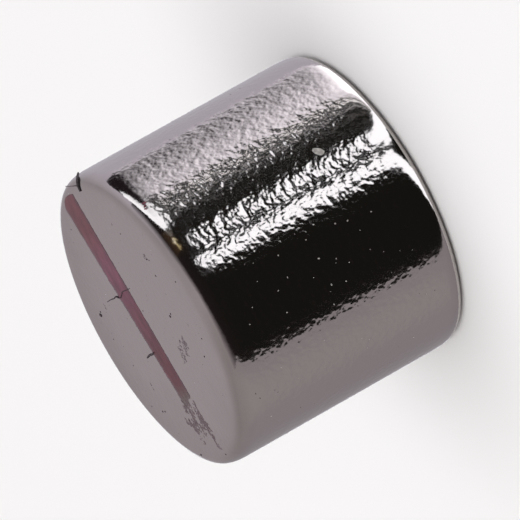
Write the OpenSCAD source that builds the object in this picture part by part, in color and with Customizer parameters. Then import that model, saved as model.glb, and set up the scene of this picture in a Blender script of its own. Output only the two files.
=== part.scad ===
// Disc magnet: a squat nickel-plated cylinder with tumbled edges and a painted stripe on one pole.
// Millimetres. It stands on its plain end, centred on the origin, with the marked end up (+Z).
// The stroke of paint starts at the rim on the +X side and runs towards -X.

/* [Magnet] */
// Diameter over the plating
magnet_d = 12; // [9:0.5:20]
// Length between the two end faces
magnet_len = 10; // [4:0.5:20]
// Radius that tumbling left on the edge of the marked end
marked_edge_r = 0.5; // [0.2:0.05:0.9]
// Radius that tumbling left on the edge of the plain end
plain_edge_r = 0.5; // [0.2:0.05:0.9]

/* [Pole stripe] */
// Length of the stroke from the rim to its worn tip
stroke_len = 8.5; // [5:0.5:10]
// Width of the stroke at the rim, where it was started
stroke_start_w = 1.6; // [1:0.1:2.5]
// Width of the stroke at its worn tip
stroke_tip_w = 1.15; // [0.8:0.05:2]
// Radius on the two corners of the worn tip
stroke_tip_r = 0.3; // [0.1:0.05:0.35]
// Distance of the stroke's start from the face's centre line, towards +Y
stroke_offset = 1.05; // [0:0.05:1.5]
// Angle between the stroke and the X axis, in degrees
stroke_angle = 4.8; // [0:0.2:10]
// Bare metal between the start of the stroke and the rounded edge
stroke_rim_gap = 0.05; // [0:0.05:0.5]
// Thickness of the dried paint
paint_t = 0.03; // [0.01:0.01:0.1]

/* [Hidden] */
$fn = 128;

barrel_r = magnet_d / 2;
marked_flat_r = barrel_r - marked_edge_r;
plain_flat_r = barrel_r - plain_edge_r;

// Each side of the stroke closes in by this angle, from the rim to the tip
stroke_taper = atan((stroke_start_w - stroke_tip_w) / 2 / stroke_len);
// Centres of the two tip corners, in the stroke's own frame: along it, and to either side
tip_along = stroke_len - stroke_tip_r;
tip_aside = stroke_start_w / 2 - tip_along * tan(stroke_taper) - stroke_tip_r / cos(stroke_taper);

// Half of the section through the axis: two flat ends, a straight barrel and two rounded edges
module half_section() {
    translate([0, plain_edge_r])
        square([barrel_r, magnet_len - plain_edge_r - marked_edge_r]);
    square([plain_flat_r, magnet_len / 2]);
    translate([0, magnet_len / 2])
        square([marked_flat_r, magnet_len / 2]);
    translate([plain_flat_r, plain_edge_r])
        circle(r = plain_edge_r);
    translate([marked_flat_r, magnet_len - marked_edge_r])
        circle(r = marked_edge_r);
}

// One stroke of a paint marker, along +X: broad where it starts, tapering to a round-cornered tip
module stroke_outline() {
    side_along = tip_along + stroke_tip_r * sin(stroke_taper);
    side_aside = tip_aside + stroke_tip_r * cos(stroke_taper);
    polygon([
        [0, stroke_start_w / 2],
        [side_along, side_aside],
        [stroke_len, tip_aside],
        [stroke_len, -tip_aside],
        [side_along, -side_aside],
        [0, -stroke_start_w / 2],
    ]);
    for (side = [-1, 1])
        translate([tip_along, side * tip_aside])
            circle(r = stroke_tip_r);
}

module magnet_body() {
    color([0.74, 0.71, 0.70])
        rotate_extrude()
            half_section();
}

module pole_stripe() {
    color([0.52, 0.30, 0.37])
        translate([0, 0, magnet_len])
            linear_extrude(height = paint_t)
                intersection() {
                    circle(r = marked_flat_r - stroke_rim_gap);
                    translate([marked_flat_r, stroke_offset])
                        rotate(180 + stroke_angle)
                            stroke_outline();
                }
}

magnet_body();
pole_stripe();
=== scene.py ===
"""Looks of a small nickel-plated disc magnet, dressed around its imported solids.

The magnet stands on its plain end. +Z runs to the marked end and +X to the rim where the stroke
of paint starts. Lengths are metres, unless a name ends in _mm. Directions of the studio's cards
are degrees: azimuth 0 is towards the camera (-Y) and 90 towards -X, and elevation is above the
horizon.
"""

import logging
import math
import random
from dataclasses import dataclass
from enum import Enum

import bmesh
import bpy
from mathutils import Matrix, Vector, noise


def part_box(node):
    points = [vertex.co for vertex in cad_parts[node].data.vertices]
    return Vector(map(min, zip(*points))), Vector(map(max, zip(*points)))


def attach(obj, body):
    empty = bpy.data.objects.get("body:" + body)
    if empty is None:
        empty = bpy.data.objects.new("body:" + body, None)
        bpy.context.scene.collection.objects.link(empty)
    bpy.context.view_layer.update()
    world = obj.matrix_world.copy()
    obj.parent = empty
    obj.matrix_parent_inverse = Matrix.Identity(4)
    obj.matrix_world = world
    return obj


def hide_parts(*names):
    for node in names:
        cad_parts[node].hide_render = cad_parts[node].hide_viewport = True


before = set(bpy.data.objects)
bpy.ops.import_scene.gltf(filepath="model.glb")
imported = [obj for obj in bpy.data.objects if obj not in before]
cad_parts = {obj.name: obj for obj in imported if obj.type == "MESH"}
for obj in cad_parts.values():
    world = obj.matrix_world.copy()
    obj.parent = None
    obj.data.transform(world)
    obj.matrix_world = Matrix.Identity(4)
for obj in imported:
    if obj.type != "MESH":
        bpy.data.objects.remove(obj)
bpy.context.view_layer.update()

log = logging.getLogger("disc_magnet")

BODY = "root"
SEED = 12
PHOTO_PX = 520
# Radians, just under a right angle: the tangent is still finite there
NEARLY_UPRIGHT = 1.57079

Point = tuple[float, float]
Triple = tuple[float, float, float]


class Slot(Enum):
    """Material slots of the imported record."""

    PLATING = "nickel_plating"
    PAINT = "pole_paint"


class Seen(Enum):
    """Which rays meet a thing of the stage."""

    REFLECTED = "only the plating's reflections"
    CAMERA = "only the camera"
    LIT = "the camera and soft light, but no reflections"
    ALL = "everything"


def m(length_mm: float) -> float:
    """Metres in a length given in millimetres."""
    return length_mm / 1000.0


def linear(code: str, gain: float = 1.0) -> tuple[float, float, float, float]:
    """Turns an sRGB hex colour to linear light.

    Args:
        code: The colour as #RRGGBB.
        gain: A factor on the light, for a lamp or card brighter than paper.

    Returns:
        Red, green, blue and an alpha of 1.
    """
    channels = [int(code[i:i + 2], 16) / 255.0 for i in (1, 3, 5)]
    light = [c / 12.92 if c <= 0.04045 else ((c + 0.055) / 1.055) ** 2.4 for c in channels]
    return (light[0] * gain, light[1] * gain, light[2] * gain, 1.0)


def add_node(tree: bpy.types.NodeTree, kind: str, settings: dict | None = None,
             links: dict | None = None) -> bpy.types.Node:
    """Adds one node to a tree.

    Args:
        tree: The node tree of a material or of the world.
        kind: The node's type name, without its ShaderNode prefix.
        settings: Values by the name or number of a socket, or by the name of a property.
        links: Output sockets of other nodes by the name or number of the socket they feed.

    Returns:
        The new node.
    """
    node = tree.nodes.new("ShaderNode" + kind)
    for key, value in (settings or {}).items():
        if isinstance(key, int) or key in node.inputs:
            node.inputs[key].default_value = value
        else:
            setattr(node, key, value)
    for key, source in (links or {}).items():
        tree.links.new(source, node.inputs[key])
    return node


def fill_ramp(ramp: bpy.types.ColorRamp, stops: list[tuple[float, str]]) -> None:
    """Sets the stops of a colour ramp.

    Args:
        ramp: The ramp of a node.
        stops: A place from 0 to 1 and an sRGB hex colour for each stop.
    """
    while len(ramp.elements) < len(stops):
        ramp.elements.new(0.5)
    for stop, (place, colour) in zip(ramp.elements, stops):
        stop.position = place
        stop.color = linear(colour)


def blank_material(name: str) -> tuple[bpy.types.Material, bpy.types.NodeTree, bpy.types.Node]:
    """Makes a material with nothing but its output node.

    Args:
        name: The material's name.

    Returns:
        The material, its node tree and its output node.
    """
    material = bpy.data.materials.new(name)
    material.use_nodes = True
    tree = material.node_tree
    tree.nodes.clear()
    return material, tree, add_node(tree, "OutputMaterial")


def mesh_piece(name: str, vertices: list[Triple], faces: list[tuple[int, ...]],
               material: bpy.types.Material) -> bpy.types.Object:
    """Makes a smooth-shaded mesh object.

    Args:
        name: The piece's name.
        vertices: Points in the row frame.
        faces: Corners of each face, as numbers of points.
        material: The piece's finish.

    Returns:
        The new object, linked to the scene.
    """
    mesh = bpy.data.meshes.new(name)
    mesh.from_pydata(vertices, [], faces)
    mesh.validate()
    work = bmesh.new()
    work.from_mesh(mesh)
    bmesh.ops.recalc_face_normals(work, faces=work.faces)
    work.to_mesh(mesh)
    work.free()
    mesh.materials.append(material)
    mesh.shade_smooth()
    piece = bpy.data.objects.new(name, mesh)
    bpy.context.scene.collection.objects.link(piece)
    return piece


def on_circle(radius: float, i: int, turns: int, height: float) -> Triple:
    """Point i of a level circle that has a number of points."""
    angle = 2 * math.pi * i / turns
    return (radius * math.cos(angle), radius * math.sin(angle), height)


def tube_faces(rings: int, turns: int) -> list[tuple[int, ...]]:
    """Makes the faces of a tube between level circles of points that follow each other.

    Args:
        rings: How many circles there are.
        turns: How many points each of them has.

    Returns:
        The faces, as numbers of points.
    """
    faces: list[tuple[int, ...]] = []
    for ring in range(rings - 1):
        for i in range(turns):
            a, b = ring * turns + i, ring * turns + (i + 1) % turns
            faces.append((a, b, b + turns, a + turns))
    return faces


def write_layer(piece: bpy.types.Object, name: str, values: list[float]) -> None:
    """Stores one number for each point of a mesh piece, for its finish to read."""
    layer = piece.data.attributes.new(name, "FLOAT", "POINT")
    layer.data.foreach_set("value", values)


@dataclass(frozen=True)
class NickelPlating:
    """Bright nickel, plated on a ground and tumbled sinter.

    The bath leaves a warm, nearly white mirror. The ground sinter shows through it as an orange
    peel that breaks the edges of every reflection into feathers, with a few pits where grains
    fell out. Handling leaves a faint brown stain in blotches, and painted shade darkens the colour
    towards the rims and near both ends of the barrel.
    """

    colour: str = "#CFC9C6"
    # The darker tone serves both the real stain and the painted shade towards the rims and ends
    stain_and_shade: str = "#BCB6B3"
    stain_mm: float = 2.0
    roughness: float = 0.10
    peel_grain_mm: float = 0.25
    peel_depth_mm: float = 0.0182
    waviness_mm: float = 1.6
    waviness_depth_mm: float = 0.010
    pit_spacing_mm: float = 0.55
    pit_share: float = 0.10
    pit_radius_mm: float = 0.05
    pit_depth_mm: float = 0.006

    def material(self) -> bpy.types.Material:
        """Builds the plating's shader: metal with its peel, its pits, its stain and its painted
        shade.

        Returns:
            The material, which reads the layer peel and the layer of painted shade of its mesh.
        """
        material, tree, out = blank_material("nickel_plated_sintered_magnet")
        place = add_node(tree, "TexCoord").outputs["Object"]
        # The layer peel is 1 on the ground barrel and less where tumbling has burnished it
        share = add_node(tree, "Attribute", {"attribute_name": "peel"}).outputs["Fac"]
        peel = add_node(tree, "TexNoise", {"Scale": 1 / m(self.peel_grain_mm), "Detail": 1.4,
                                           "Roughness": 0.45}, {"Vector": place})
        waves = add_node(tree, "TexNoise", {"Scale": 1 / m(self.waviness_mm), "Detail": 1.0},
                         {"Vector": place})
        cells = {"Scale": 1 / m(self.pit_spacing_mm)}
        spots = add_node(tree, "TexVoronoi", cells, {"Vector": place})
        chosen = add_node(tree, "SeparateColor", None, {"Color": spots.outputs["Color"]})
        pitted = add_node(tree, "Math", {"operation": "LESS_THAN", 1: self.pit_share},
                          {0: chosen.outputs["Red"]})
        dip = add_node(tree, "MapRange", {"From Max": self.pit_radius_mm / self.pit_spacing_mm,
                                          "To Min": 1.0, "To Max": 0.0,
                                          "interpolation_type": "SMOOTHSTEP"},
                       {"Value": spots.outputs["Distance"]})
        pits = add_node(tree, "Math", {"operation": "MULTIPLY"},
                        {0: dip.outputs["Result"], 1: pitted.outputs[0]})
        wavy = add_node(tree, "Bump", {"Distance": m(self.waviness_depth_mm)},
                        {"Height": waves.outputs["Fac"]})
        peeled = add_node(tree, "Bump", {"Distance": m(self.peel_depth_mm)},
                          {"Height": peel.outputs["Fac"], "Strength": share,
                           "Normal": wavy.outputs[0]})
        pocked = add_node(tree, "Bump", {"Distance": m(self.pit_depth_mm), "invert": True},
                          {"Height": pits.outputs[0], "Normal": peeled.outputs[0]})
        stain = add_node(tree, "TexNoise", {"Scale": 1 / m(self.stain_mm), "Detail": 4.0,
                                            "Roughness": 0.6}, {"Vector": place})
        # Painted shade: this layer darkens the plating towards the rims and near both ends
        unshaded = add_node(tree, "Attribute", {"attribute_name": "unshaded"}).outputs["Fac"]
        lightness = add_node(tree, "Math", {"operation": "MULTIPLY_ADD", 1: 0.7},
                         {0: stain.outputs["Fac"], 2: unshaded})
        tone = add_node(tree, "ValToRGB", None, {"Fac": lightness.outputs[0]})
        fill_ramp(tone.color_ramp, [(0.2, self.stain_and_shade), (0.95, self.colour)])
        metal = add_node(tree, "BsdfPrincipled", {"Metallic": 1.0, "Roughness": self.roughness},
                         {"Base Color": tone.outputs["Color"], "Normal": pocked.outputs[0]})
        tree.links.new(metal.outputs[0], out.inputs["Surface"])
        return material


@dataclass(frozen=True)
class MarkerPaint:
    """Red paint marker, drawn by hand on the nickel and left to dry.

    It is a thin dull film, through which a little of the metal shines. It is browner at the rim,
    thins to grey where it is rubbed off at the tip, and is darkest along its sides, where it
    dried last. The film comes to each of its colours at an x in millimetres, and keeps its thin
    one over a span.
    """

    worn: str = "#645A56"
    thin: str = "#5C3038"
    full: str = "#724253"
    at_rim: str = "#683B41"
    worn_at_mm: float = -3.2
    thin_at_mm: Point = (-2.5, -1.3)
    full_at_mm: float = 2.4
    rim_at_mm: float = 4.0
    side: str = "#58474D"
    metallic: float = 0.3
    roughness: float = 0.35
    mottle_mm: float = 0.30
    mottle_depth_mm: float = 0.008
    thin_and_thick: Point = (0.68, 1.30)

    def along(self) -> list[tuple[float, str]]:
        """Lists the film's colours along the stroke, from the tip to the rim.

        Returns:
            An x in millimetres and an sRGB hex colour for each.
        """
        return [(self.worn_at_mm, self.worn), (self.thin_at_mm[0], self.thin),
                (self.thin_at_mm[1], self.thin), (self.full_at_mm, self.full),
                (self.rim_at_mm, self.at_rim)]

    def material(self) -> bpy.types.Material:
        """Builds the paint's shader, blotched along the stroke where the film is thicker.

        Returns:
            The material, which reads the layer side of its mesh.
        """
        material, tree, out = blank_material("red_paint_marker_film")
        place = add_node(tree, "TexCoord").outputs["Object"]
        parts = add_node(tree, "SeparateXYZ", None, {"Vector": place})
        first, last = self.worn_at_mm, self.rim_at_mm
        share = add_node(tree, "MapRange", {"From Min": m(first), "From Max": m(last)},
                         {"Value": parts.outputs["X"]})
        tone = add_node(tree, "ValToRGB", None, {"Fac": share.outputs["Result"]})
        fill_ramp(tone.color_ramp, [((x - first) / (last - first), colour)
                                    for x, colour in self.along()])
        # The pull of the marker draws the blotches out along the stroke
        drawn = add_node(tree, "VectorMath", {"operation": "MULTIPLY", 1: (0.4, 1.0, 1.0)},
                         {0: place}).outputs[0]
        mottle = add_node(tree, "TexNoise", {"Scale": 1 / m(self.mottle_mm), "Detail": 4.0,
                                             "Roughness": 0.65}, {"Vector": drawn})
        depth = add_node(tree, "MapRange", {"From Min": 0.3, "From Max": 0.7,
                                            "To Min": self.thin_and_thick[0],
                                            "To Max": self.thin_and_thick[1]},
                         {"Value": mottle.outputs["Fac"]})
        mixed = add_node(tree, "VectorMath", {"operation": "SCALE"},
                         {0: tone.outputs["Color"], "Scale": depth.outputs["Result"]})
        sided = add_node(tree, "Attribute", {"attribute_name": "side"}).outputs["Fac"]
        dried = add_node(tree, "Mix", {"data_type": "RGBA", 7: linear(self.side)},
                         {0: sided, 6: mixed.outputs[0]})
        grain = add_node(tree, "Bump", {"Distance": m(self.mottle_depth_mm)},
                         {"Height": mottle.outputs["Fac"]})
        film = add_node(tree, "BsdfPrincipled", {"Metallic": self.metallic,
                                                 "Roughness": self.roughness},
                        {"Base Color": dried.outputs[2], "Normal": grain.outputs[0]})
        tree.links.new(film.outputs[0], out.inputs["Surface"])
        return material


@dataclass(frozen=True)
class Grime:
    """Lint, grit or dried flecks, picked up from a bench.

    They are dull, dry and blotchy, so they show against the mirror.
    """

    name: str
    dark: str
    pale: str
    blotch_mm: float = 0.08
    roughness: float = 0.85

    def material(self) -> bpy.types.Material:
        """Builds the shader of a rough dielectric with a blotchy colour.

        Returns:
            The material, named for what the grime is.
        """
        material, tree, out = blank_material(self.name)
        place = add_node(tree, "TexCoord").outputs["Object"]
        blotch = add_node(tree, "TexNoise", {"Scale": 1 / m(self.blotch_mm), "Detail": 2.0},
                          {"Vector": place})
        shade = add_node(tree, "ValToRGB", None, {"Fac": blotch.outputs["Fac"]})
        fill_ramp(shade.color_ramp, [(0.3, self.dark), (0.7, self.pale)])
        dull = add_node(tree, "BsdfPrincipled", {"Roughness": self.roughness},
                        {"Base Color": shade.outputs["Color"]})
        tree.links.new(dull.outputs[0], out.inputs["Surface"])
        return material


# Spun and dyed textile fibre: nearly black, with no shine
DARK_LINT = Grime("dark_textile_lint", "#2C2528", "#4C4448")
# Filings and sinter powder: a shade darker than the nickel around them
GREY_GRIT = Grime("grey_metal_grit", "#5A5154", "#7A7074")
# Household dust and a flake of dry card: the only pale things on the dark reflections
PALE_DUST = Grime("pale_dust", "#8E8C88", "#C9C6C0")
# Marker film rubbed to crumbs: brownish grey, with hardly any red left
WORN_PAINT = Grime("worn_paint_residue", "#4C4043", "#746669")
# Marker ink that ran over the edge and dried: a dull dark red
DRIED_INK = Grime("dried_red_ink", "#57303A", "#7C4652")


@dataclass(frozen=True)
class Spot:
    """A place on the magnet's skin, and the way out of it."""

    point: Vector
    out: Vector

    def lifted(self, height_mm: float) -> Vector:
        """The point at a height over the skin."""
        return self.point + self.out * m(height_mm)

    def offset(self, right_mm: float, up_mm: float) -> Vector:
        """Moves the point along the skin.

        Args:
            right_mm: How far around the magnet's axis.
            up_mm: How far across that, along the skin.

        Returns:
            The moved point, on the plane that touches the skin at the spot.
        """
        right = Vector((0.0, 0.0, 1.0)).cross(self.out)
        right = right.normalized() if right.length > 0.2 else Vector((1.0, 0.0, 0.0))
        return self.point + right * m(right_mm) + self.out.cross(right) * m(up_mm)


@dataclass
class MagnetBody:
    """The plated cylinder, with edges that tumbling has softened over a wider band than it cut.

    The share of the barrel's peel is given where the edge starts, along it and on the faces. The
    rings of the wall are shares of its height, with how far the peel has come to its full depth.
    """

    soft_length_mm: float = 1.10
    soft_depth_mm: float = 0.72
    softness: float = 3.6
    turn_steps: int = 288
    edge_steps: int = 32
    edge_start: float = 0.60
    edge_peel: float = 0.28
    edge_fade: float = 12
    face_peel: float = 0.45
    flat_rings: tuple[float, ...] = (0.15, 0.3, 0.45, 0.6, 0.75, 0.9, 0.99, 0.998)
    wall_rings: tuple[Point, ...] = ((0.003, 0.0), (0.02, 0.5), (0.06, 1.0), (0.3, 1.0),
                                     (0.7, 1.0), (0.94, 1.0), (0.98, 0.5), (0.997, 0.0))
    # Painted shade on the plating: lightest around a middle of the ends, darker towards their rims
    # and within a band at both ends of the barrel
    lit_middle_mm: Point = (0.6, -1.2)
    lit_most: float = 0.85
    shade_fall: float = 0.65
    shaded_end_mm: float = 1.3

    def __post_init__(self) -> None:
        """Reads the cylinder's size from the frame."""
        low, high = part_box("magnet_body")
        self.radius = (high.x - low.x) / 2
        self.height = high.z - low.z

    def corner(self, tilt: float) -> Point:
        """Where the soft edge has turned by an angle.

        Args:
            tilt: The turn away from the barrel, from 0 to a right angle, in radians.

        Returns:
            How far the skin lies in from the barrel and from the face there.
        """
        n = self.softness
        turn = math.tan(min(tilt, NEARLY_UPRIGHT))
        t = math.atan((turn * self.soft_length_mm / self.soft_depth_mm) ** (n / (2 * (n - 1))))
        return (m(self.soft_depth_mm) * (1 - math.cos(t) ** (2 / n)),
                m(self.soft_length_mm) * (1 - math.sin(t) ** (2 / n)))

    def drop(self, reach: float) -> float:
        """How far the skin lies below the marked face.

        Args:
            reach: Distance from the axis.

        Returns:
            The drop, 0 on the flat and growing over the soft edge.
        """
        share = (reach - self.radius + m(self.soft_depth_mm)) / m(self.soft_depth_mm)
        share = min(max(share, 0.0), 0.999)
        return m(self.soft_length_mm) * (1 - (1 - share ** self.softness) ** (1 / self.softness))

    def on_face(self, x_mm: float, y_mm: float) -> Spot:
        """Finds a spot of the marked end, which may lie on its soft edge.

        Args:
            x_mm: Its x.
            y_mm: Its y.

        Returns:
            The spot on the skin, facing along the axis.
        """
        point = Vector((m(x_mm), m(y_mm), 0.0))
        point.z = self.height - self.drop(point.length)
        return Spot(point, Vector((0.0, 0.0, 1.0)))

    def on_barrel(self, turn: float, height_mm: float) -> Spot:
        """The spot of the barrel at an angle from the camera's side and a height."""
        way = Vector((-math.sin(math.radians(turn)), -math.cos(math.radians(turn)), 0.0))
        return Spot(way * self.radius + Vector((0.0, 0.0, m(height_mm))), way)

    def on_edge(self, turn: float, tilt: float) -> Spot:
        """Finds a spot of the marked end's soft edge.

        Args:
            turn: Degrees around the axis from the camera's side.
            tilt: Degrees that the skin has turned there from the barrel to the face.

        Returns:
            The spot on the skin.
        """
        inward, down = self.corner(math.radians(tilt))
        way = Vector((-math.sin(math.radians(turn)), -math.cos(math.radians(turn)), 0.0))
        point = way * (self.radius - inward) + Vector((0.0, 0.0, self.height - down))
        rise = math.radians(tilt)
        return Spot(point, way * math.cos(rise) + Vector((0.0, 0.0, math.sin(rise))))

    def lightness(self, place: Vector) -> float:
        """How light the plating is: painted shade darkens it towards the rims and near both ends.

        Args:
            place: A point of the skin.

        Returns:
            A number from 0 for the darkest painted shade to 1 for none.
        """
        middle = self.lit_middle_mm
        off = Vector((place.x - m(middle[0]), place.y - m(middle[1]))).length / self.radius
        # Painted shade, falling off from the middle towards the rims
        worn = max(0.0, self.lit_most - self.shade_fall * off ** 2)
        along = min(place.z, self.height - place.z) / m(self.shaded_end_mm)
        return worn + (1 - worn) * min(max(along, 0.0), 1.0)

    def profile(self) -> list[Triple]:
        """Lists the rings of the skin, from the plain end's centre to the marked end's.

        Returns:
            Radius, height and share of the peel of each ring.
        """
        edge = []
        for i in range(self.edge_steps + 1):
            share = i / self.edge_steps
            fade = min(share * self.edge_fade, 1.0)
            peel = self.edge_start + (self.edge_peel - self.edge_start) * fade
            edge.append((*self.corner(share * math.pi / 2), peel))
        flat = self.radius - m(self.soft_depth_mm)
        flats = [flat * share for share in self.flat_rings]
        low, high = m(self.soft_length_mm), self.height - m(self.soft_length_mm)
        rings = [(r, 0.0, self.face_peel) for r in flats]
        rings += [(self.radius - inward, up, peel) for inward, up, peel in reversed(edge)]
        rings += [(self.radius, low + (high - low) * share,
                   self.edge_start * (1 - full) + full) for share, full in self.wall_rings]
        rings += [(self.radius - inward, self.height - up, peel) for inward, up, peel in edge]
        return rings + [(r, self.height, self.face_peel) for r in reversed(flats)]

    def build(self, finish: NickelPlating) -> bpy.types.Object:
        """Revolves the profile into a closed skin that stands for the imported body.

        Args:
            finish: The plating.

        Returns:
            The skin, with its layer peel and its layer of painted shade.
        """
        rings = self.profile()
        turns = self.turn_steps
        points = [on_circle(radius, i, turns, height)
                  for radius, height, _ in rings for i in range(turns)]
        faces = tube_faces(len(rings), turns)
        points += [(0.0, 0.0, 0.0), (0.0, 0.0, self.height)]
        last = (len(rings) - 1) * turns
        for i in range(turns):
            faces.append((len(points) - 2, (i + 1) % turns, i))
            faces.append((len(points) - 1, last + i, last + (i + 1) % turns))
        piece = mesh_piece("plated_body", points, faces, finish.material())
        peels = [peel for _, _, peel in rings for _ in range(turns)] + [self.face_peel] * 2
        write_layer(piece, "peel", peels)
        write_layer(piece, "unshaded", [self.lightness(Vector(place)) for place in points])
        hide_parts("magnet_body")
        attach(piece, BODY)
        return piece


@dataclass
class PoleStroke:
    """The stroke of paint across the marked end, drawn by hand in one pull.

    It is broad at the rim, where the marker was set down a little askew, and ragged at its worn
    tip. A place on it is given by t, from 0 at its start to 1 at its tip, and s, from -1 to 1
    across it. Each wobble has its waves over the length, its share and its own noise.
    """

    start_mm: Point = (5.38, 0.95)
    end_mm: Point = (-3.20, 0.32)
    start_w_mm: float = 1.56
    end_w_mm: float = 1.10
    film_mm: float = 0.012
    bedding_mm: float = 0.0015
    dried_from: float = 0.9
    start_bow_mm: float = 0.10
    start_lag_mm: float = 0.28
    wander_mm: float = 0.045
    wobbles: tuple[tuple[float, float, int], ...] = ((34, 1.0, SEED), (110, 0.6, SEED + 4))
    tip_wander_mm: float = 0.48
    tip_bristles: float = 2.5
    along: int = 220
    across: int = 20

    def place(self, t: float, s: float) -> tuple[Vector, float]:
        """Finds a place of the stroke on the marked end.

        Args:
            t: Share of the way along it.
            s: Share of the way across it.

        Returns:
            Its x and y in millimetres, and how far the sides wander out there.
        """
        start, end = Vector(self.start_mm), Vector(self.end_mm)
        run = end - start
        side = Vector((-run.y, run.x)).normalized()
        half = (self.start_w_mm * (1 - t) + self.end_w_mm * t) / 2
        ragged = noise.noise(Vector((s * self.tip_bristles, SEED, 0.5))) * self.tip_wander_mm
        bow = (1 - s * s) * self.start_bow_mm
        bow -= self.start_lag_mm * max(0.0, -s) ** 3
        spot = start + run * t + run.normalized() * (ragged * t ** 12 - bow * (1 - t))
        wander = 0.0
        for waves, share, seed in self.wobbles:
            wander += share * noise.noise(Vector((t * waves, s * 0.8, seed)))
        return spot + side * (s * half + wander * self.wander_mm * abs(s)), wander

    def faces(self) -> list[tuple[int, ...]]:
        """Lists the faces of the film: its underside, its top and the rim between them.

        Returns:
            The faces, as numbers of points.
        """
        row = self.across + 1
        layer = row * (self.along + 1)
        faces: list[tuple[int, ...]] = []
        for i in range(self.along):
            for j in range(self.across):
                a = i * row + j
                faces.append((a, a + 1, a + row + 1, a + row))
                faces.append((a + layer, a + row + layer, a + row + 1 + layer, a + 1 + layer))
        rim = [i * row for i in range(self.along + 1)]
        rim += [self.along * row + j for j in range(1, row)]
        rim += [i * row + self.across for i in range(self.along - 1, -1, -1)]
        rim += [j for j in range(self.across - 1, 0, -1)]
        for a, b in zip(rim, rim[1:] + rim[:1]):
            faces.append((a, b, b + layer, a + layer))
        return faces

    def build(self, body: MagnetBody, finish: MarkerPaint) -> bpy.types.Object:
        """Lays the film over the marked end as a thin closed blanket with wandering sides.

        Args:
            body: The magnet, whose face and soft edge the film follows.
            finish: The paint.

        Returns:
            The film, with its layer side, which is 1 where the paint dried last.
        """
        points: list[Triple] = []
        sided: list[float] = []
        for level in (0, 1):
            for i in range(self.along + 1):
                t = i / self.along
                for j in range(self.across + 1):
                    s = j / self.across * 2 - 1
                    spot, wander = self.place(t, s)
                    z = body.height - body.drop(m(spot.length))
                    thick = (1 - s ** 4) * min(1.0, (1 - t) * 25, t * 25 + 0.2) * level
                    z += m(self.film_mm * thick) + m(self.bedding_mm) * (level * 2 - 1)
                    points.append((m(spot.x), m(spot.y), z))
                    sided.append(min(1.0, abs(s) ** 5 * (self.dried_from + wander)))
        piece = mesh_piece("pole_stroke", points, self.faces(), finish.material())
        write_layer(piece, "side", sided)
        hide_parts("pole_stripe")
        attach(piece, BODY)
        return piece


@dataclass
class Fibre:
    """A fibre of lint: points on the skin and its thickness at its middle."""

    name: str
    path: tuple[Vector, ...]
    thick_mm: float

    def build(self, material: bpy.types.Material) -> bpy.types.Object:
        """Draws a round curve through the points that thins at both ends.

        Args:
            material: The lint's finish.

        Returns:
            The fibre.
        """
        curve = bpy.data.curves.new(self.name, "CURVE")
        curve.dimensions = "3D"
        curve.bevel_depth = m(self.thick_mm) / 2
        curve.bevel_resolution = 2
        curve.resolution_u = 8
        curve.use_fill_caps = True
        spline = curve.splines.new("NURBS")
        spline.points.add(len(self.path) - 1)
        spline.order_u = 3
        spline.use_endpoint_u = True
        for i, (point, place) in enumerate(zip(spline.points, self.path)):
            point.co = (*place, 1.0)
            point.radius = 0.6 + 0.4 * math.sin(math.pi * i / (len(self.path) - 1))
        curve.materials.append(material)
        piece = bpy.data.objects.new(self.name, curve)
        bpy.context.scene.collection.objects.link(piece)
        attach(piece, BODY)
        return piece


@dataclass
class Grains:
    """Many small grains on the skin, each a low uneven lump.

    Each spot has its grain's width in millimetres, and the height is a share of that. A grain is
    stretched at random, up to a factor, and turned at random, up to an angle. Its foot and its
    shoulder are given as shares of its height and width.
    """

    name: str
    spots: list[tuple[Spot, float]]
    rim: int = 9
    height: float = 0.22
    stretch: float = 1.7
    lean: float = math.pi
    foot: Point = (-0.06, 1.0)
    shoulder: Point = (0.6, 0.72)

    def build(self, material: bpy.types.Material) -> bpy.types.Object:
        """Makes one mesh of every grain.

        Args:
            material: The grains' finish.

        Returns:
            The mesh object.
        """
        dice = random.Random(self.name)
        points: list[Vector] = []
        faces: list[tuple[int, ...]] = []
        for spot, size in self.spots:
            first = len(points)
            stretch, turn = dice.uniform(1.0, self.stretch), dice.uniform(0, self.lean)
            shape = [dice.uniform(0.65, 1.1) for _ in range(self.rim)]
            for level, spread in (self.foot, self.shoulder):
                for i in range(self.rim):
                    angle = 2 * math.pi * i / self.rim
                    reach = size / 2 * spread * shape[i]
                    flat = Vector((math.cos(angle) * stretch, math.sin(angle))) * reach
                    flat.rotate(Matrix.Rotation(turn, 2))
                    points.append(spot.offset(flat.x, flat.y)
                                  + spot.out * m(size * self.height * level))
            points.append(spot.lifted(size * self.height))
            for i in range(self.rim):
                a, b = first + i, first + (i + 1) % self.rim
                faces.append((a, b, b + self.rim, a + self.rim))
                faces.append((a + self.rim, b + self.rim, first + 2 * self.rim))
            faces.append(tuple(first + i for i in reversed(range(self.rim))))
        piece = mesh_piece(self.name, [tuple(p) for p in points], faces, material)
        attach(piece, BODY)
        return piece


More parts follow.
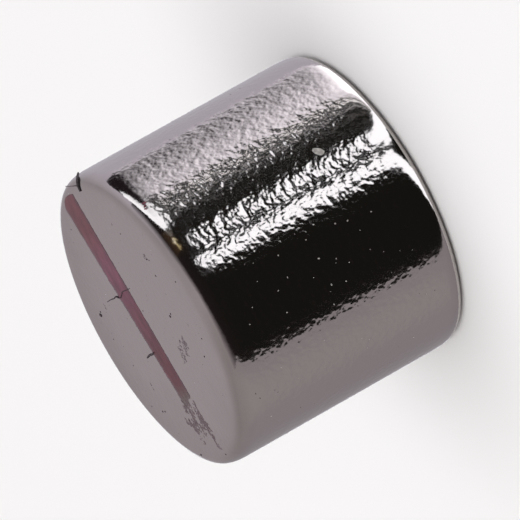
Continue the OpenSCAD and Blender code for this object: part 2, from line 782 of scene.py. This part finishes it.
@dataclass
class Dust:
    """Lint, grit and flecks that lie on the magnet, which draws iron grit from any bench.

    A speck is its x, y and width on the marked end, or its angle, height and width on the
    barrel. A smudge is its x, y, half-width, half-height, number of grains and their width. The
    ink's spots are an angle and a tilt of the soft edge, with their width.
    """

    long_fibre_mm: tuple[Point, ...] = ((1.40, 2.68), (1.42, 2.25), (1.37, 1.85), (1.44, 1.60),
                                        (1.27, 1.25), (1.33, 0.95), (1.46, 0.65), (1.43, 0.30),
                                        (1.42, -0.15))
    short_fibre_mm: tuple[Point, ...] = ((-1.10, 1.82), (-1.04, 1.50), (-1.09, 1.18),
                                         (-1.05, 0.92))
    tuft_mm: tuple[Triple, ...] = ((6.01, 0.05, 9.46), (5.92, -0.45, 9.72), (5.84, -0.78, 9.87),
                                   (5.69, -0.80, 9.97), (5.53, -0.80, 10.01),
                                   (5.37, -0.77, 10.02))
    wisp_mm: tuple[Triple, ...] = ((5.61, -0.76, 10.04), (5.71, -0.19, 10.05),
                                   (5.81, 0.38, 10.02))
    long_thick_mm: float = 0.045
    short_thick_mm: float = 0.095
    tuft_thick_mm: float = 0.115
    wisp_thick_mm: float = 0.055
    fibre_lift_mm: float = 0.018
    dark_specks_mm: tuple[Triple, ...] = (
        (1.09, 4.13, 0.17), (1.20, 3.98, 0.08), (-3.10, 3.35, 0.10), (-3.14, 3.12, 0.09),
        (-1.10, 3.70, 0.06), (-0.19, -2.62, 0.10), (-0.12, -2.78, 0.08), (1.35, -3.42, 0.07),
        (2.02, -3.45, 0.09), (1.95, -3.62, 0.06), (-2.05, -3.75, 0.08), (0.47, -0.28, 0.06),
        (4.35, 2.30, 0.06), (0.10, 4.20, 0.06), (-5.15, 1.98, 0.10), (0.80, -5.00, 0.07),
        (-1.45, -4.45, 0.07), (-5.55, -0.45, 0.06), (3.30, -2.30, 0.06), (-4.35, -4.35, 0.07))
    smudges_mm: tuple[tuple[float, ...], ...] = (
        (-1.50, -2.15, 0.30, 0.42, 84, 0.060), (-1.30, -2.60, 0.20, 0.12, 36, 0.075),
        (-1.60, -1.70, 0.20, 0.25, 18, 0.045), (-2.30, 3.05, 0.30, 0.20, 12, 0.045),
        (-1.85, -1.55, 0.14, 0.12, 12, 0.060), (2.05, -3.60, 0.16, 0.20, 12, 0.060),
        (1.35, 3.05, 0.35, 0.25, 12, 0.035), (-2.60, 4.10, 0.30, 0.30, 10, 0.045),
        (-0.80, -3.90, 0.30, 0.30, 10, 0.035), (3.90, -1.90, 0.30, 0.35, 10, 0.035))
    residue_mm: tuple[tuple[float, ...], ...] = (
        (-3.95, 0.95, 0.46, 0.42, 90, 0.090), (-4.10, 0.15, 0.60, 0.36, 110, 0.085),
        (-4.30, -0.20, 0.70, 0.10, 130, 0.085), (-3.35, 0.45, 0.22, 0.55, 90, 0.085),
        (-3.70, 0.62, 0.60, 0.06, 40, 0.080))
    flake_turn: float = -23.6
    flake_height_mm: float = 2.95
    flake_mm: tuple[Point, ...] = ((-0.20, 0.10), (-0.13, -0.04), (-0.02, -0.15), (0.12, -0.20),
                                   (0.20, -0.12), (0.21, 0.00), (0.12, 0.10), (0.00, 0.17),
                                   (-0.13, 0.18))
    flake_rings_mm: tuple[Point, ...] = ((0.0, 1.0), (0.016, 0.94), (0.022, 0.5))
    pale_specks: tuple[Triple, ...] = (
        (1.7, 6.43, 0.060), (1.7, 5.21, 0.050), (1.7, 3.93, 0.065), (3.0, 3.46, 0.055),
        (9.5, 5.11, 0.070), (12.6, 4.50, 0.060), (9.9, 6.50, 0.055), (12.4, 7.04, 0.050),
        (13.0, 8.21, 0.045), (20.8, 7.07, 0.060), (19.9, 5.07, 0.065), (4.2, 2.50, 0.050),
        (16.0, 4.10, 0.045), (6.0, 7.60, 0.040), (14.5, 5.60, 0.045), (8.0, 3.20, 0.040))
    barrel_flecks: int = 130
    fleck_sizes_mm: Point = (0.022, 0.062)
    barrel_grit: int = 60
    barrel_grit_sizes_mm: Point = (0.02, 0.06)
    face_grit: int = 70
    face_grit_sizes_mm: Point = (0.02, 0.045)
    face_grit_reach_mm: float = 5.2
    clump: int = 6
    ink_spots: tuple[Triple, ...] = ((-40.0, 5.5, 0.13), (-38.6, 7.5, 0.12), (-37.4, 9.5, 0.09))

    def scattered(self, body: MagnetBody, count: int, sizes: Point,
                  dice: random.Random) -> list[tuple[Spot, float]]:
        """Spreads spots at random over the barrel.

        Args:
            body: The magnet.
            count: How many spots.
            sizes: The least and the greatest width of a grain, in millimetres.
            dice: The source of chance.

        Returns:
            The spots with their grains' widths.
        """
        low, high = body.soft_length_mm, body.height * 1000 - body.soft_length_mm
        return [(body.on_barrel(dice.uniform(-180, 180), dice.uniform(low, high)),
                 dice.uniform(*sizes)) for _ in range(count)]

    def smudged(self, body: MagnetBody, areas: tuple[tuple[float, ...], ...],
                dice: random.Random) -> list[tuple[Spot, float]]:
        """Gathers spots in clumps, within smudges of the marked end.

        Args:
            body: The magnet.
            areas: The smudges.
            dice: The source of chance.

        Returns:
            The spots with their grains' widths in millimetres.
        """
        spots = []
        for x, y, wide, tall, count, size in areas:
            for _ in range(int(count) // self.clump):
                middle = (dice.gauss(x, wide * 0.6), dice.gauss(y, tall * 0.6))
                for _ in range(self.clump):
                    spot = body.on_face(dice.gauss(middle[0], size),
                                        dice.gauss(middle[1], size * 0.7))
                    spots.append((spot, size * dice.uniform(0.5, 1.6)))
        return spots

    def grit(self, body: MagnetBody, dice: random.Random) -> list[tuple[Spot, float]]:
        """Lays out the grey grit: the smudges, and a sprinkle on both face and barrel.

        Args:
            body: The magnet.
            dice: The source of chance.

        Returns:
            The spots with their grains' widths in millimetres.
        """
        spots = self.smudged(body, self.smudges_mm, dice)
        for _ in range(self.face_grit):
            angle = dice.uniform(0, 2 * math.pi)
            reach = self.face_grit_reach_mm * math.sqrt(dice.random())
            spots.append((body.on_face(reach * math.cos(angle), reach * math.sin(angle)),
                          dice.uniform(*self.face_grit_sizes_mm)))
        return spots + self.scattered(body, self.barrel_grit, self.barrel_grit_sizes_mm, dice)

    def flake(self, body: MagnetBody, material: bpy.types.Material) -> bpy.types.Object:
        """Makes a thin pale flake that clings to the barrel.

        Args:
            body: The magnet.
            material: The flake's finish.

        Returns:
            The flake, in three rings of points and a middle, each lifted off the skin.
        """
        points: list[Triple] = []
        shape = self.flake_mm
        for lift, spread in self.flake_rings_mm:
            for around, up in shape:
                turn = self.flake_turn + math.degrees(m(around * spread) / body.radius)
                spot = body.on_barrel(turn, self.flake_height_mm + up * spread)
                points.append(tuple(spot.lifted(lift)))
        middle = body.on_barrel(self.flake_turn, self.flake_height_mm)
        points.append(tuple(middle.lifted(self.flake_rings_mm[-1][0])))
        n = len(shape)
        faces: list[tuple[int, ...]] = [tuple(reversed(range(n)))]
        for i in range(n):
            j = (i + 1) % n
            faces += [(i, j, n + j, n + i), (n + i, n + j, 2 * n + j, 2 * n + i),
                      (2 * n + i, 2 * n + j, 3 * n)]
        piece = mesh_piece("pale_flake", points, faces, material)
        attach(piece, BODY)
        return piece

    def build(self, body: MagnetBody) -> list[bpy.types.Object]:
        """Lays every fibre, grain and fleck on the body.

        Args:
            body: The magnet.

        Returns:
            The pieces.
        """
        dice = random.Random(SEED)
        dark, grey = DARK_LINT.material(), GREY_GRIT.material()
        pale, red = PALE_DUST.material(), DRIED_INK.material()
        flat = [tuple(body.on_face(x, y).lifted(self.fibre_lift_mm) for x, y in path)
                for path in (self.long_fibre_mm, self.short_fibre_mm)]
        deep = [tuple(Vector(place) / 1000 for place in path)
                for path in (self.tuft_mm, self.wisp_mm)]
        marks = [(body.on_face(x, y), size) for x, y, size in self.dark_specks_mm]
        smear = [(body.on_edge(turn, tilt), size) for turn, tilt, size in self.ink_spots]
        residue = self.smudged(body, self.residue_mm, dice)
        flecks = self.scattered(body, self.barrel_flecks, self.fleck_sizes_mm, dice)
        flecks += [(body.on_barrel(turn, up), size) for turn, up, size in self.pale_specks]
        return [Fibre("long_fibre", flat[0], self.long_thick_mm).build(dark),
                Fibre("short_fibre", flat[1], self.short_thick_mm).build(dark),
                Fibre("rim_tuft", deep[0], self.tuft_thick_mm).build(dark),
                Fibre("rim_wisp", deep[1], self.wisp_thick_mm).build(grey),
                Grains("dark_specks", marks).build(dark),
                Grains("grey_grit", self.grit(body, dice), height=0.12).build(grey),
                Grains("paint_residue", residue, height=0.05, stretch=2.0,
                       lean=0.7).build(WORN_PAINT.material()),
                Grains("pale_flecks", flecks).build(pale),
                Grains("ink_smear", smear, height=0.05).build(red),
                self.flake(body, pale)]


def show_to(piece: bpy.types.Object, seen: Seen) -> None:
    """Sets which rays meet a thing of the stage.

    Args:
        piece: The thing.
        seen: What meets it.
    """
    piece.visible_camera = seen is not Seen.REFLECTED
    piece.visible_glossy = seen in (Seen.REFLECTED, Seen.ALL)
    piece.visible_diffuse = seen in (Seen.LIT, Seen.ALL)
    piece.visible_shadow = seen in (Seen.LIT, Seen.ALL)


@dataclass(frozen=True)
class Tone:
    """The light of one line of a card, and how much of it covers what is behind."""

    colour: str
    gain: float = 1.0
    cover: float = 1.0


# Black cloth, and the light of a white reflector and of a strip lamp
BLACK = Tone("#1B1A18")
WHITE = Tone("#F6F9FF", 1.65)
STRIP = Tone("#F6F9FF", 1.8)


@dataclass(frozen=True)
class Card:
    """A card or soft light of the studio, as the magnet sees it.

    It is lofted through two or more lines of (azimuth, elevation) points, each line with its
    tone and all with the same number of points. Its distance is in metres, and steps is how many
    pieces the loft makes of each span.
    """

    name: str
    lines: tuple[tuple[Point, ...], ...]
    tones: tuple[Tone, ...]
    distance: float = 0.9
    steps: int = 5

    def rows(self) -> list[list[tuple[Vector, tuple[float, ...]]]]:
        """Lofts the card.

        Returns:
            Azimuth and elevation, and tone, of every point, line by line.
        """
        values = [linear(tone.colour, tone.gain)[:3] + (tone.cover,) for tone in self.tones]
        rows = []
        for k in range((len(self.lines) - 1) * self.steps + 1):
            line = min(k // self.steps, len(self.lines) - 2)
            s = k / self.steps - line
            value = tuple(a * (1 - s) + b * s for a, b in zip(values[line], values[line + 1]))
            row = []
            for i in range((len(self.lines[0]) - 1) * self.steps + 1):
                span = min(i // self.steps, len(self.lines[0]) - 2)
                t = i / self.steps - span
                ends = [Vector(self.lines[line + j][span]).lerp(
                    Vector(self.lines[line + j][span + 1]), t) for j in (0, 1)]
                row.append((ends[0].lerp(ends[1], s), value))
            rows.append(row)
        return rows

    def build(self) -> bpy.types.Object:
        """Makes the card as a curved sheet around the magnet that only reflections meet.

        Returns:
            The card.
        """
        rows = self.rows()
        points: list[Triple] = []
        for way, _ in (point for row in rows for point in row):
            azimuth, elevation = math.radians(way.x), math.radians(way.y)
            flat = math.cos(elevation) * self.distance
            points.append((-math.sin(azimuth) * flat, -math.cos(azimuth) * flat,
                           math.sin(elevation) * self.distance))
        wide = len(rows[0])
        faces = [(k * wide + i, k * wide + i + 1, (k + 1) * wide + i + 1, (k + 1) * wide + i)
                 for k in range(len(rows) - 1) for i in range(wide - 1)]
        material, tree, out = blank_material("studio_" + self.name)
        tone = add_node(tree, "Attribute", {"attribute_name": "tone"})
        glow = add_node(tree, "Emission", None, {"Color": tone.outputs["Color"]})
        clear = add_node(tree, "BsdfTransparent")
        sheet = add_node(tree, "MixShader", None, {"Fac": tone.outputs["Alpha"],
                                                   1: clear.outputs[0], 2: glow.outputs[0]})
        tree.links.new(sheet.outputs[0], out.inputs["Surface"])
        card = mesh_piece("studio_" + self.name, points, faces, material)
        layer = card.data.color_attributes.new("tone", "FLOAT_COLOR", "POINT")
        for datum, (_, value) in zip(layer.data, (point for row in rows for point in row)):
            datum.color = value
        show_to(card, Seen.REFLECTED)
        return card


CARDS = (
    # Black cloth around the front: the barrel mirrors it in a broad dark band
    Card("black_flag",
         (((-60, -89), (-40, -89), (-20, -89), (0, -89), (20, -89), (40, -89), (60, -89)),
          ((-84, -40), (-60, -40), (-40, -40), (-10, -40), (15, -40), (40, -40), (60, -40)),
          ((-92, -19), (-70, -19), (-45, -19), (-10, -19), (15, -19), (40, -19), (60.5, -19)),
          ((-86, 14), (-70, 18), (-45, 24), (0, 20), (20, 12), (38, 4), (52, -3)),
          ((-92, 42), (-72, 50), (-45, 60), (0, 44), (20, 40), (42, 34), (62, 22))),
         (BLACK, BLACK, BLACK, Tone("#241E1E"), Tone("#3E3236", cover=0.0)), 1.12),
    # The cloth's free corner, a dark spot on the marked end's edge
    Card("flag_end",
         (((-126, -22), (-119, -8), (-116, 4), (-110, 11)),
          ((-84, -25), (-74, -10), (-90, 6), (-98, 14))),
         (Tone("#231C20"), Tone("#231C20")), 1.10),
    # A large soft light, low on the +X side, fading in at its top
    Card("low_softbox",
         (((-128, -16), (-108, -15), (-96, -13), (-88, -11.5), (-81, -11)),
          ((-128, -27), (-108, -26), (-96, -24), (-88, -23), (-81, -23)),
          ((-131, -32), (-110, -31), (-97, -30), (-88, -29), (-81, -29)),
          ((-150, -52), (-124, -57), (-104, -58), (-92, -58), (-79, -57))),
         (Tone("#F9F6FF", 1.3, 0.0), Tone("#F9F6FF", 1.38), Tone("#F9F9FF", 2.0),
          Tone("#F9F9FF", 2.2)), 0.95),
    # Its bright end panel
    Card("softbox_end",
         (((-83, -20), (-82, -30), (-84, -56)), ((-80, -18.6), (-80, -30), (-82, -56)),
          ((-77, -20), (-77, -30), (-78, -56))),
         (Tone("#F9F6FF", 1.25), Tone("#F9F6FF", 1.25), Tone("#F9F6FF", 0.9)), 0.94),
    # Blades in front of the cloth: on the peel they break up into pale and black specks
    Card("louvre", tuple(((az, -18.6), (az * 0.98 - 1, -30), (az * 0.85 - 12, -52))
                         for az in (-80, -77.5, -75.5, -73.6, -72, -70.4, -67.5, -65.5, -63.5,
                                    -60, -58, -56, -52, -50, -48, -45)),
         (Tone("#F4F3F6"), Tone("#F4F3F6", 1.5), Tone("#242322"), BLACK, Tone("#F4F3F6", 2.6),
          BLACK, BLACK, Tone("#CFCED1"), BLACK, BLACK, Tone("#6A6968"), BLACK, BLACK,
          Tone("#4A4948"), BLACK, BLACK), 0.96),
    # A white reflector that the marked end's edge mirrors as a bright hook
    Card("high_band",
         (((-86, -16.5), (-77, -13), (-73, -6), (-84, -1), (-95, 2), (-100, 8)),
          ((-80, -14), (-62, -12), (-60, -4), (-72, 3), (-88, 8), (-98, 11)),
          ((-60, -16), (-51, -12), (-50.5, -2), (-60, 6), (-78, 13), (-95, 16))),
         (Tone("#F6F9FF", 1.1), WHITE, WHITE), 0.93),
    # Warm lamplight from the room, four faint patches of it beside the hook
    Card("warm_haze", (((-49, -14), (-31, -14)), ((-49, -4), (-31, -4)), ((-50, 14), (-30, 14)),
                       ((-50, 36), (-30, 36))),
         (Tone("#6A5238", cover=0.0), Tone("#6A5238", cover=0.35), Tone("#6A5238", cover=0.18),
          Tone("#6A5238", cover=0.0)), 0.98),
    Card("warm_streak_one", (((-41.5, -9), (-40.5, -9)), ((-41.5, -7), (-38.8, -7)),
                             ((-41, -2.5), (-38.2, -2.5)), ((-40.2, 1.5), (-38.6, 1.5)),
                             ((-41, 8), (-38, 8))),
         (Tone("#E8DCB4", cover=0.0), Tone("#E8DCB4"), Tone("#F4ECD2", 1.35),
          Tone("#C0AE80", 1.0, 0.4), Tone("#6A5238", cover=0.0)), 0.97),
    Card("warm_streak_two", (((-38, -10), (-35, -10)), ((-38, -8), (-33.5, -8)),
                             ((-38, -4.5), (-33.5, -4.5)), ((-38, -1), (-35, -1))),
         (Tone("#C8BA8C", cover=0.0), Tone("#C8BA8C"), Tone("#C8BA8C"), Tone("#8A7854", 1.0, 0.0)),
         0.97),
    Card("grey_glint", (((-48, -13), (-46, -13)), ((-48, -7), (-44.5, -7)), ((-48, 2), (-46, 2))),
         (Tone("#9A9692", cover=0.0), Tone("#9A9692", cover=0.6), Tone("#9A9692", cover=0.0)),
         0.97),
    # Two strip lights, which the barrel mirrors as two feathery lines
    Card("strip_one",
         (((-21, -15), (-22.9, -18), (-23.5, -30), (-16, -45), (-12, -60), (-4, -74)),
          ((-15, -15), (-14.2, -18), (-5, -30), (10, -46), (34, -62), (84, -73))),
         (STRIP, STRIP), 0.9),
    Card("strip_two",
         (((-39.3, -18.8), (-47, -30), (-62, -45), (-78, -55), (-100, -62)),
          ((-30, -18.8), (-28, -30), (-33, -45), (-45, -55), (-60, -62))),
         (STRIP, STRIP), 0.9),
    # White card under the -X side, for the plain end's edge
    Card("foot_glow", (((60, -66), (100, -66), (150, -66)), ((60, -84), (100, -84), (150, -84))),
         (Tone("#F6F9FF"), Tone("#F6F9FF")), 0.9),
    # A strip light behind, so that the back of the barrel has its highlight too
    Card("rear_strip", (((170, -70), (170, 2)), ((174, -72), (174, 4)), ((186, -72), (186, 4)),
                        ((190, -70), (190, 2))),
         (Tone("#F6F9FF", cover=0.0), Tone("#F6F9FF"), Tone("#F6F9FF"),
          Tone("#F6F9FF", cover=0.0)), 1.0),
)


@dataclass
class Studio:
    """A pale floor, a soft lamp overhead, the room's pale walls and the cards around.

    The tones of the walls are given with the x of their direction, from -1 to 1. The upper tones
    take over between two heights of direction, and lengths are metres.
    """

    floor_colour: str = "#F2F3F1"
    floor_reach: float = 0.492
    patch_reach_mm: float = 6.0
    wall_tones: tuple[tuple[float, str], ...] = (
        (-0.95, "#A49EA0"), (-0.88, "#9C9699"), (-0.66, "#979195"), (-0.3, "#9A969A"),
        (0.0, "#AEA7AC"), (0.3, "#BEBBC4"), (0.8, "#C6C1CC"))
    upper_tones: tuple[tuple[float, str], ...] = (
        (-0.95, "#A29C9E"), (-0.66, "#9D9699"), (-0.3, "#A49DA0"), (0.0, "#AEA7AC"),
        (0.45, "#A5A0A4"), (0.75, "#BAB5BC"), (0.95, "#C6C1CC"))
    tones_meet: Point = (-0.25, 0.15)
    backdrop_height: float = 0.3
    backdrop_rows: int = 4
    turns: int = 96
    lamp_at: Triple = (-0.06, -0.08, 0.60)
    lamp_size: float = 0.95
    lamp_watts: float = 4.45

    def disc(self, name: str, inner: float, outer: float, seen: Seen,
             material: bpy.types.Material) -> bpy.types.Object:
        """Lays a flat ring of the floor, or a disc where its inner radius is 0.

        Args:
            name: The ring's name.
            inner: Its inner radius.
            outer: Its outer radius.
            seen: Which rays meet it.
            material: Its finish.

        Returns:
            The ring.
        """
        points = [on_circle(r, i, self.turns, 0.0)
                  for r in (inner, outer) for i in range(self.turns)]
        faces = tube_faces(2, self.turns)
        if inner == 0.0:
            points = points[self.turns:]
            faces = [tuple(range(self.turns))]
        ring = mesh_piece(name, points, faces, material)
        show_to(ring, seen)
        return ring

    def floor(self) -> None:
        """Lays the paper floor, whose middle alone shows in the plating, under the magnet."""
        material, tree, out = blank_material("studio_floor")
        paper = add_node(tree, "BsdfDiffuse", {"Color": linear(self.floor_colour)})
        tree.links.new(paper.outputs[0], out.inputs["Surface"])
        self.disc("floor_middle", 0.0, m(self.patch_reach_mm), Seen.ALL, material)
        self.disc("floor", m(self.patch_reach_mm), self.floor_reach, Seen.LIT, material)

    def backdrop(self) -> None:
        """Stands a pale wall around, for views from near the horizon."""
        rows = self.backdrop_rows
        points = [on_circle(self.floor_reach, i, self.turns, self.backdrop_height * j / rows)
                  for j in range(rows + 1) for i in range(self.turns)]
        faces = tube_faces(rows + 1, self.turns)
        material, tree, out = blank_material("studio_backdrop")
        glow = add_node(tree, "Emission", {"Color": linear(self.floor_colour)})
        tree.links.new(glow.outputs[0], out.inputs["Surface"])
        wall = mesh_piece("backdrop", points, faces, material)
        show_to(wall, Seen.CAMERA)

    def walls(self) -> None:
        """Sets the room's soft light: lilac grey on the +X side and warm grey on the -X side."""
        world = bpy.data.worlds.new("soft_room")
        world.use_nodes = True
        bpy.context.scene.world = world
        tree = world.node_tree
        tree.nodes.clear()
        way = add_node(tree, "TexCoord").outputs["Generated"]
        parts = add_node(tree, "SeparateXYZ", None, {"Vector": way})
        share = add_node(tree, "MapRange", {"From Min": -1.0}, {"Value": parts.outputs["X"]})
        tones = []
        for stops in (self.wall_tones, self.upper_tones):
            tone = add_node(tree, "ValToRGB", None, {"Fac": share.outputs["Result"]})
            fill_ramp(tone.color_ramp, [((place + 1) / 2, colour) for place, colour in stops])
            tones.append(tone.outputs["Color"])
        above = add_node(tree, "MapRange", {"From Min": self.tones_meet[0],
                                            "From Max": self.tones_meet[1]},
                         {"Value": parts.outputs["Z"]})
        both = add_node(tree, "Mix", {"data_type": "RGBA"},
                        {0: above.outputs["Result"], 6: tones[0], 7: tones[1]})
        light = add_node(tree, "Background", None, {"Color": both.outputs[2]})
        add_node(tree, "OutputWorld", None, {"Surface": light.outputs[0]})

    def lamp(self) -> None:
        """Hangs a broad soft lamp overhead, for the floor, the paint and the dust."""
        data = bpy.data.lights.new("overhead_softbox", "AREA")
        data.shape = "SQUARE"
        data.size = self.lamp_size
        data.energy = self.lamp_watts
        lamp = bpy.data.objects.new("overhead_softbox", data)
        lamp.location = self.lamp_at
        lamp.rotation_euler = (-Vector(lamp.location)).to_track_quat("-Z", "Y").to_euler()
        lamp.visible_glossy = False
        bpy.context.scene.collection.objects.link(lamp)

    def build(self) -> None:
        """Sets up everything around the magnet."""
        self.floor()
        self.backdrop()
        self.walls()
        self.lamp()
        for card in CARDS:
            card.build()


@dataclass
class Viewpoint:
    """The camera, at the photograph's angle: 20 degrees over the barrel's side, and rolled.

    The frame is set by a width around the magnet and by how many pixels that takes. Distance and
    sensor are metres.
    """

    elevation: float = 19.5
    axis_angle: float = 209.34
    distance: float = 0.453
    object_mm: float = 14.8
    object_px: float = 405.0
    sensor: float = 0.036

    def build(self, centre: Vector) -> bpy.types.Object:
        """Sets up the camera.

        Args:
            centre: The point that it looks at.

        Returns:
            The camera.
        """
        rise = math.radians(self.elevation)
        back = Vector((0.0, -math.cos(rise), math.sin(rise)))
        across = Vector((1.0, 0.0, 0.0))
        upward = back.cross(across)
        turn = math.radians(self.axis_angle)
        right = math.cos(turn) * upward + math.sin(turn) * across
        up = math.sin(turn) * upward - math.cos(turn) * across
        data = bpy.data.cameras.new("camera")
        data.sensor_width = self.sensor * 1000
        width = m(self.object_mm) * PHOTO_PX / self.object_px
        data.lens = data.sensor_width * self.distance / width
        data.clip_start = 0.01
        data.clip_end = 10.0
        camera = bpy.data.objects.new("camera", data)
        spin = Matrix((right, up, back)).transposed().to_4x4()
        camera.matrix_world = Matrix.Translation(centre + back * self.distance) @ spin
        bpy.context.scene.collection.objects.link(camera)
        bpy.context.scene.camera = camera
        return camera


def main() -> None:
    """Builds the magnet, its dust, the studio and the camera in order."""
    logging.basicConfig(level=logging.INFO, format="%(name)s: %(message)s")
    scene = bpy.context.scene
    scene.view_settings.view_transform = "Standard"
    body = MagnetBody()
    pieces = [body.build(NickelPlating()), PoleStroke().build(body, MarkerPaint())]
    for piece in pieces + Dust().build(body):
        log.info("%s: %s", piece.name, piece.type.lower())
    Studio().build()
    log.info("studio: %d cards", len(CARDS))
    centre = Vector((0.0, 0.0, body.height / 2))
    Viewpoint().build(centre)
    log.info("camera placed")


if __name__ == "__main__":
    main()
